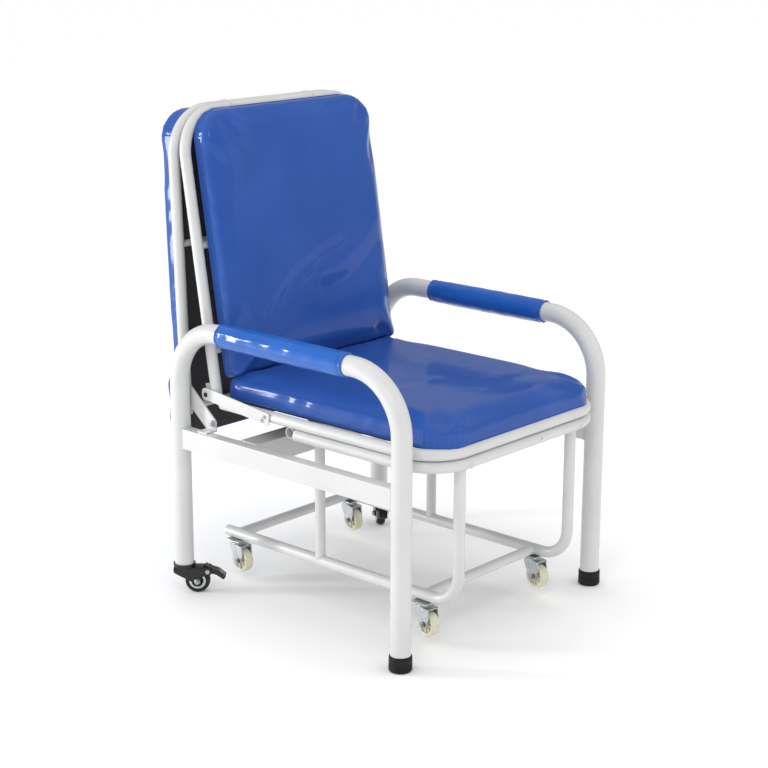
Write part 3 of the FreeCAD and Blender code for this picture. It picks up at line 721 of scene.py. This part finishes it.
def make_feet():
    profile = [(0, 0), (0.0190, 0), (0.0212, 0.0010), (0.0226, 0.0034), (0.0228, 0.0060),
               (0.0226, 0.0098), (0.0219, 0.0104), (0.0219, 0.0116), (0.0226, 0.0122),
               (0.0225, 0.0150), (0.0218, 0.0156), (0.0218, 0.0168), (0.0225, 0.0174),
               (0.0224, 0.0285), (0.0219, 0.0306), (0.0211, 0.0317), (0.0204, 0.0320),
               (0.02015, 0.0314), (0.02015, 0.0060), (0, 0.0060)]
    for side in SIDES:
        node = "front_foot_" + side
        low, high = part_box(node)
        where = Matrix.Translation(((low.x + high.x) / 2, (low.y + high.y) / 2, 0))
        foot = lathe("rubber_foot_" + side, profile, where, body_of(node), RUBBER, "foot_rubber", 72)
        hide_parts(node)


def mirrored(half):
    """A profile and its mirror image, from one face of a wheel to the other."""
    return half + [(radius, -height) for radius, height in reversed(half)]


def wheel_frame(joint):
    return frame_along(joint_place(joint), joints[joint]["axis"])


def add_spokes(bm, where, count, inner, outer, depth, half):
    """Thin radial ribs in the recess of a moulded wheel, on both faces."""
    for i in range(count):
        turn = Matrix.Rotation(2 * math.pi * i / count, 4, "Z")
        for low, high in ((depth, half), (-half, -depth)):
            corners = [(inner, -0.0008), (outer, -0.0008), (outer, 0.0008), (inner, 0.0008)]
            near = [bm.verts.new(where @ turn @ Vector((u, v, low))) for u, v in corners]
            far = [bm.verts.new(where @ turn @ Vector((u, v, high))) for u, v in corners]
            bm.faces.new(near[::-1])
            bm.faces.new(far)
            for k in range(4):
                j = (k + 1) % 4
                bm.faces.new((near[k], near[j], far[j], far[k]))


def make_trolley_wheels():
    """Moulded nylon wheels: a crowned tread, a ribbed recess and a hub boss."""
    half = [(0.0033, 0.0098), (0.0068, 0.0098), (0.0076, 0.0092), (0.0080, 0.0052), (0.0182, 0.0046),
            (0.0188, 0.0088), (0.0198, 0.0096), (0.0224, 0.0100), (0.0244, 0.0088), (0.0253, 0.0062),
            (0.0255, 0.0025)]
    for spot in SPOTS:
        where = wheel_frame("trolley_wheel_spin_" + spot)
        bm = bmesh.new()
        revolve(bm, mirrored(half), where, 64, closed=True)
        add_spokes(bm, where, 8, 0.0076, 0.0186, 0.0045, 0.0080)
        name = "ivory_wheel_" + spot
        piece = mesh_piece(name, from_bmesh(outward(bm), name), "trolley_wheel_" + spot, IVORY,
                           "ivory_wheel")
        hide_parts("caster_wheel_" + spot)
        bevel = piece.modifiers.new("smooth_by_angle", "EDGE_SPLIT")
        bevel.split_angle = math.radians(42)
        make_caster_trim(spot)


def hex_nut(bm, where, across, low, high):
    """A hexagonal nut with a domed top, on the local Z axis."""
    radius = across / math.sqrt(3)
    rings = []
    for size, height in ((radius, low), (radius, high - 0.0006), (radius * 0.9, high)):
        ring = []
        for i in range(6):
            angle = math.pi / 3 * i
            spot = Vector((size * math.cos(angle), size * math.sin(angle), height))
            ring.append(bm.verts.new(where @ spot))
        rings.append(ring)
    for first, second in zip(rings, rings[1:]):
        for i in range(6):
            j = (i + 1) % 6
            bm.faces.new((first[i], first[j], second[j], second[i]))
    bm.faces.new(rings[0][::-1])
    bm.faces.new(rings[-1])


# The height of a trolley caster's swivel race above its fork.
RACE_HIGH = 0.0067


def make_caster_trim(spot):
    """A trolley caster's swivel race with its balls' housing, and its axle nuts on washers."""
    swivel = joint_place("trolley_caster_swivel_" + spot)
    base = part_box("caster_fork_" + spot)[1].z - RACE_HIGH
    where = Matrix.Translation((swivel.x, swivel.y, base))
    ring = [(0.0128, -0.0010), (0.0150, -0.0010), (0.0160, 0.0004), (0.0158, 0.0022), (0.0138, 0.0032),
            (0.0131, 0.0036)]
    lathe("swivel_race_" + spot, ring, where, "trolley_caster_" + spot, ZINC, "zinc_plate", 56, closed=True)
    axle = wheel_frame("trolley_wheel_spin_" + spot)
    bm = bmesh.new()
    for flip in (0, math.pi):
        face = axle @ Matrix.Rotation(flip, 4, "X")
        washer = [(0, 0.0160), (0.0058, 0.0160), (0.0062, 0.0166), (0.0058, 0.0172), (0, 0.0172)]
        revolve(bm, washer, face, 32)
        hex_nut(bm, face, 0.0078, 0.0170, 0.0200)
    name = "axle_nuts_" + spot
    nuts = mesh_piece(name, from_bmesh(outward(bm), name), "trolley_caster_" + spot, BOLT,
                      "bolt_steel", False)
    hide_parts("caster_axle_" + spot)


def make_brake_wheels():
    """The braked casters' wheels: a rounded tread on a dark hub with a bright dished ring."""
    tread = [(0.0161, 0.0080), (0.0172, 0.0092), (0.0205, 0.0095), (0.0238, 0.0088), (0.0254, 0.0066),
             (0.0260, 0.0030)]
    hub = [(0.0042, 0.0072), (0.0112, 0.0072), (0.0118, 0.0078), (0.0120, 0.0086), (0.0160, 0.0088)]
    ring = [(0.0118, 0.0082), (0.0123, 0.0096), (0.0132, 0.0101), (0.0166, 0.0099), (0.0175, 0.0094),
            (0.0172, 0.0084)]
    for side in SIDES:
        where = wheel_frame("brake_wheel_spin_" + side)
        body = "brake_wheel_" + side
        tyre = lathe("brake_tyre_" + side, mirrored(tread), where, body, TYRE, "tyre_black", 72, closed=True)
        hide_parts("brake_caster_tyre_" + side)
        core = lathe("brake_hub_" + side, mirrored(hub), where, body, HUB, "hub_grey", 64, closed=True)
        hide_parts("brake_caster_hub_" + side)
        bm = bmesh.new()
        for flip in (0, math.pi):
            revolve(bm, ring, where @ Matrix.Rotation(flip, 4, "X"), 64, closed=True)
        name = "hub_ring_" + side
        mesh_piece(name, from_bmesh(outward(bm), name), body, ZINC, "zinc_plate")


# The axle and the lever's rivet in a braked caster's side view: behind the swivel, above the floor.
BRAKE_AXLE = (0.027, 0.026)
BRAKE_RIVET = (0.049, 0.048)
CHEEK = [(-0.0215, 0.0562), (-0.0220, 0.0470), (-0.0175, 0.0425), (0.0080, 0.0290), (0.0195, 0.0230),
         (0.0225, 0.0198), (0.0270, 0.0188), (0.0320, 0.0205), (0.0345, 0.0255), (0.0340, 0.0310),
         (0.0385, 0.0365), (0.0450, 0.0390), (0.0535, 0.0395), (0.0565, 0.0430), (0.0560, 0.0520),
         (0.0535, 0.0562)]


def hood_outline():
    """The hood's side view: flat on top, with an arch that clears the wheel underneath."""
    points = [(-0.0215, 0.0566), (-0.0225, 0.0510), (-0.0215, 0.0455), (-0.0170, 0.0420)]
    centre = BRAKE_AXLE
    for step in range(9):
        angle = math.radians(162 - 92 * step / 8)
        points.append((centre[0] + 0.0288 * math.cos(angle), centre[1] + 0.0288 * math.sin(angle)))
    points += [(0.0405, 0.0512), (0.0405, 0.0566)]
    return points


def make_brake_hoods():
    """The braked casters' hoods, each a moulded shell with two cheeks that reach the axle."""
    for side in SIDES:
        swivel = joint_place("brake_caster_swivel_" + side)
        axis = Vector(joints["brake_wheel_spin_" + side]["axis"])
        turn = Matrix((axis, Vector((0, 0, 1)).cross(axis), (0, 0, 1))).transposed().to_4x4()
        where = Matrix.Translation((swivel.x, swivel.y, 0)) @ turn
        bm = bmesh.new()
        prism(bm, hood_outline(), -0.0138, 0.0138, where)
        for low, high in ((-0.0143, -0.0107), (0.0107, 0.0143)):
            prism(bm, CHEEK, low, high, where)
        for low, high in ((-0.0149, -0.0138), (0.0138, 0.0149)):
            band = [(-0.0205, 0.0552), (-0.0212, 0.0512), (0.0385, 0.0495), (0.0480, 0.0510),
                    (0.0480, 0.0552)]
            prism(bm, band, low, high, where)
        name = "brake_hood_" + side
        hood = mesh_piece(name, from_bmesh(outward(bm), name), "brake_caster_" + side, NYLON, "black_nylon")
        bevel = hood.modifiers.new("bevel", "BEVEL")
        bevel.width = 0.0009
        bevel.segments = 3
        bevel.angle_limit = math.radians(35)
        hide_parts("brake_caster_housing_" + side)
        make_brake_trim(side, where)


def make_brake_trim(side, where):
    """Dome nuts on the wheel's axle and rivets on the lever's pin."""
    bm = bmesh.new()
    wheel = where @ Matrix.Translation((0, *BRAKE_AXLE))
    pin = where @ Matrix.Translation((0, *BRAKE_RIVET))
    for sign in (-1, 1):
        along = Matrix.Rotation(sign * math.pi / 2, 4, "Y")
        dome = [(0.0060, 0.0141), (0.0062, 0.0150), (0.0052, 0.0152), (0.0050, 0.0168), (0.0042, 0.0186),
                (0.0024, 0.0197), (0, 0.0201)]
        revolve(bm, [(0, 0.0141)] + dome, wheel @ along, 32)
        rivet = [(0.0046, 0.0143), (0.0046, 0.0150), (0.0036, 0.0162), (0.0018, 0.0168), (0, 0.0169)]
        revolve(bm, [(0, 0.0143)] + rivet, pin @ along, 28)
    name = "brake_nuts_" + side
    mesh_piece(name, from_bmesh(outward(bm), name), "brake_caster_" + side, BOLT, "bolt_steel")


# ---- bolts, welds and small parts -------------------------------------------------------------

def dome_head(bm, spot, sign, radius, high):
    """A round bolt head with a socket, facing outward along X."""
    along = frame_along(spot, (sign, 0, 0))
    profile = [(0, 0), (radius, 0), (radius, high * 0.35), (radius * 0.86, high * 0.75),
               (radius * 0.6, high), (radius * 0.42, high), (radius * 0.36, high * 0.45), (0, high * 0.4)]
    revolve(bm, profile, along, 28)


def make_bolt_heads():
    """Socketed heads on the flat CAD heads of the frame's, panel's and links' bolts."""
    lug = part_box("frame_bolts")
    lug_middle = ((lug[0].y + lug[1].y) / 2, (lug[0].z + lug[1].z) / 2)
    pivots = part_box("rear_panel_pivots")
    pivot = joint_place("rear_panel_fold")
    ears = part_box("back_ears")
    seat_pivot = joint_place("seat_turn")
    places = [
        ("bracket_bolt_heads", "base", lug[1].x, lug_middle, 0.0056),
        ("panel_pivot_heads", "rear_panel", pivots[1].x, (pivot.y, pivot.z), 0.0060),
        ("seat_pivot_heads", "backrest", ears[1].x, (seat_pivot.y, seat_pivot.z), 0.0052),
    ]
    for name, body, x, (y, z), radius in places:
        bm = bmesh.new()
        for sign in SIDES.values():
            dome_head(bm, (sign * (x - 0.0002), y, z), sign, radius, 0.0028)
        material, slot = (NYLON, "black_nylon") if body == "backrest" else (BOLT, "bolt_steel")
        mesh_piece(name, from_bmesh(outward(bm), name), body, material, slot)
    link_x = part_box("seat_link_right")[1].x
    seat_z = (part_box("seat_frame")[0].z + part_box("seat_frame")[1].z) / 2
    bm = bmesh.new()
    for sign in SIDES.values():
        dome_head(bm, (sign * (link_x - 0.0002), 0.055, seat_z + 0.002), sign, 0.0036, 0.0018)
        dome_head(bm, (sign * (link_x - 0.0002), 0.062, seat_z - 0.0065), sign, 0.0036, 0.0018)
    mesh_piece("link_bolt_heads", from_bmesh(outward(bm), "link_bolt_heads"), "seat_trolley", BOLT,
               "bolt_steel")


def saddle(centre, post, main, post_radius, main_radius, count=60):
    """Points where a round post meets a round tube: post and main are unit directions."""
    post, main = Vector(post), Vector(main)
    side = post.cross(main)
    points = []
    for i in range(count):
        angle = 2 * math.pi * i / count
        across = post_radius * math.sin(angle)
        rise = math.sqrt(max(main_radius ** 2 - across ** 2, 0))
        points.append(Vector(centre) + post * rise + main * post_radius * math.cos(angle) + side * across)
    return points


def make_welds():
    """Painted weld beads where the tubes meet."""
    loop_z = (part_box("trolley_loop")[0].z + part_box("trolley_loop")[1].z) / 2
    front_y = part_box("trolley_loop")[0].y + TUBE_RADIUS
    skid_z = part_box("trolley_side_left")[0].z + TUBE_RADIUS
    post_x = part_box("trolley_side_right")[1].x - TUBE_RADIUS
    bar_low, bar_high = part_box("trolley_crossbars")
    upper_z = bar_high.z - TUBE_RADIUS
    beads = []
    for sign in SIDES.values():
        x = sign * post_x
        beads.append(saddle((x, front_y, loop_z), (0, 0, -1), (1, 0, 0), 0.0118, TUBE_RADIUS))
        beads.append(saddle((x, 0, upper_z), (0, 0, -1), (1, 0, 0), 0.0108, TUBE_RADIUS))
        beads.append(saddle((x, 0, skid_z), (0, 0, 1), (0, 1, 0), 0.0108, TUBE_RADIUS))
        for y in (bar_low.y + 0.0105, bar_high.y - 0.0105):
            beads.append(saddle((x, y, skid_z), (-sign, 0, 0), (0, 1, 0), 0.0108, TUBE_RADIUS))
    meshes = [tube_mesh("bead", points, 0.0014, cyclic=True, ripple=0.22) for points in beads]
    mesh_piece("trolley_welds", join_meshes("trolley_welds", meshes), "seat_trolley", PAINT, "frame_paint")
    make_rail_welds()
    make_slat_welds()


def rectangle(u_low, u_high, v_low, v_high, lift):
    """Points round a rectangle; lift turns (u, v) into a point in the row frame."""
    points = []
    corners = [(u_low, v_low), (u_high, v_low), (u_high, v_high), (u_low, v_high)]
    for i, (u, v) in enumerate(corners):
        following = corners[(i + 1) % 4]
        for step in range(12):
            share = step / 12
            points.append(lift(u + (following[0] - u) * share, v + (following[1] - v) * share))
    return points


def make_rail_welds():
    meshes = []
    for side, sign in SIDES.items():
        low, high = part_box("side_rail_" + side)
        hoop_low, hoop_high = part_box("hoop_" + side)
        x = (low.x + high.x) / 2
        for leg_y, way in ((hoop_low.y + LEG_RADIUS, 1), (hoop_high.y - LEG_RADIUS, -1)):
            def lift(u, v, leg_y=leg_y, way=way, x=x):
                depth = math.sqrt(max(LEG_RADIUS ** 2 - u ** 2, 0))
                return Vector((x + u, leg_y + way * (depth + 0.0004), v))
            points = rectangle(low.x - x, high.x - x, low.z, high.z, lift)
            meshes.append(tube_mesh("bead", points, 0.0015, cyclic=True, ripple=0.2))
        beam_low, beam_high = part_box("cross_rails")
        inner = low.x - 0.0003 if sign > 0 else high.x + 0.0003
        points = rectangle(beam_low.y, beam_high.y, low.z, high.z, lambda u, v: Vector((inner, u, v)))
        meshes.append(tube_mesh("bead", points, 0.0013, cyclic=True, ripple=0.2))
    mesh_piece("rail_welds", join_meshes("rail_welds", meshes), "base", PAINT, "frame_paint")


# How far below its top tube each slat of a panel is; the backrest has the upper two.
SLAT_DROPS = (0.267, 0.480, 0.608)


def make_slat_welds():
    """Beads where each panel's slats meet its side tubes."""
    panels = (("rear_panel", "clip_turn", REAR_LEAN, SLAT_DROPS),
              ("backrest", "backrest_fold", BACK_LEAN, SLAT_DROPS[:2]))
    panel_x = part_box("back_frame")[1].x - TUBE_RADIUS
    for body, joint, lean, drops in panels:
        angle = math.radians(lean)
        up = Vector((0, math.sin(angle), math.cos(angle)))
        meshes = []
        for drop in drops:
            for sign in SIDES.values():
                centre = joint_place(joint) - up * drop + Vector((sign * panel_x, 0, 0))
                points = saddle(centre, (-sign, 0, 0), up, 0.0073, TUBE_RADIUS, 40)
                meshes.append(tube_mesh("bead", points, 0.0011, cyclic=True, ripple=0.2))
        name = body + "_welds"
        mesh_piece(name, join_meshes(name, meshes), body, PAINT, "frame_paint")


def make_loop_screw():
    """A small dark screw in the front of the trolley's upper loop."""
    low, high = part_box("trolley_loop")
    bm = bmesh.new()
    where = frame_along((0.045, low.y + 0.0003, (low.z + high.z) / 2 + 0.001), (0, -1, 0))
    revolve(bm, [(0, 0), (0.0024, 0), (0.0023, 0.0007), (0.0014, 0.0012), (0, 0.0013)], where, 20)
    mesh_piece("loop_screw", from_bmesh(outward(bm), "loop_screw"), "seat_trolley", BOLT, "bolt_steel")


# ---- stage ------------------------------------------------------------------------------------

def make_floor():
    bpy.ops.mesh.primitive_plane_add(size=60)
    floor = bpy.context.object
    floor.name = "floor"
    surface = new_material("pale_floor", (0.96, 0.96, 0.96), 0.9, Specular_IOR_Level=0.0)
    floor.data.materials.append(surface)


def area_light(name, spot, target, size, power, colour=(1, 1, 1)):
    light = bpy.data.lights.new(name, "AREA")
    light.shape = "RECTANGLE"
    light.size, light.size_y = size
    light.energy = power
    light.color = colour
    holder = bpy.data.objects.new(name, light)
    bpy.context.scene.collection.objects.link(holder)
    holder.location = spot
    holder.rotation_mode = "QUATERNION"
    holder.rotation_quaternion = (Vector(target) - Vector(spot)).to_track_quat("-Z", "Y")


def make_lights():
    world = bpy.data.worlds.new("studio")
    bpy.context.scene.world = world
    world.use_nodes = True
    backdrop = world.node_tree.nodes["Background"]
    backdrop.inputs["Color"].default_value = (1.0, 1.0, 1.0, 1)
    # the room is dimmer in the gloss of the vinyl than its bright backdrop
    path = world.node_tree.nodes.new("ShaderNodeLightPath")
    strength = world.node_tree.nodes.new("ShaderNodeMapRange")
    strength.inputs["To Min"].default_value = 1.04
    strength.inputs["To Max"].default_value = 0.4
    world.node_tree.links.new(path.outputs["Is Glossy Ray"], strength.inputs["Value"])
    world.node_tree.links.new(strength.outputs["Result"], backdrop.inputs["Strength"])
    area_light("key", (-3.2, -1.6, 2.8), (0, 0, 0.5), (1.2, 1.6), 18)
    area_light("edge", (-2.2, 2.3, 0.5), (0, 0, 0.7), (0.34, 2.2), 60)
    area_light("fill", (1.8, -3.4, 2.2), (0, 0, 0.5), (2.4, 2.4), 8)
    area_light("top", (0, 0.2, 3.6), (0, 0, 0.4), (2.5, 2.5), 8)


CAMERA_SPOT = (-2.69778, -2.42108, 1.42062)
CAMERA_LENS = 85.59
# Heading, drop below the horizon and roll, in degrees.
CAMERA_TURN = (-48.287, 15.175, 0.225)


def make_camera():
    data = bpy.data.cameras.new("camera")
    data.lens = CAMERA_LENS
    data.sensor_width = 36
    camera = bpy.data.objects.new("camera", data)
    bpy.context.scene.collection.objects.link(camera)
    heading, drop, roll = (math.radians(angle) for angle in CAMERA_TURN)
    level = Vector((-math.sin(heading), math.cos(heading), 0))
    forward = level * math.cos(drop) - Vector((0, 0, math.sin(drop)))
    right = forward.cross(Vector((0, 0, 1))).normalized()
    up = right.cross(forward)
    tilted_right = right * math.cos(roll) + up * math.sin(roll)
    tilted_up = up * math.cos(roll) - right * math.sin(roll)
    turn = Matrix((tilted_right, tilted_up, -forward)).transposed().to_4x4()
    camera.matrix_world = Matrix.Translation(CAMERA_SPOT) @ turn
    bpy.context.scene.camera = camera


make_camera()
make_lights()
make_floor()
bpy.context.scene.view_settings.view_transform = "Standard"
dress_nodes()
make_cushions()
make_sleeves()
make_feet()
make_trolley_wheels()
make_brake_wheels()
make_brake_hoods()
make_bolt_heads()
make_welds()
make_loop_screw()
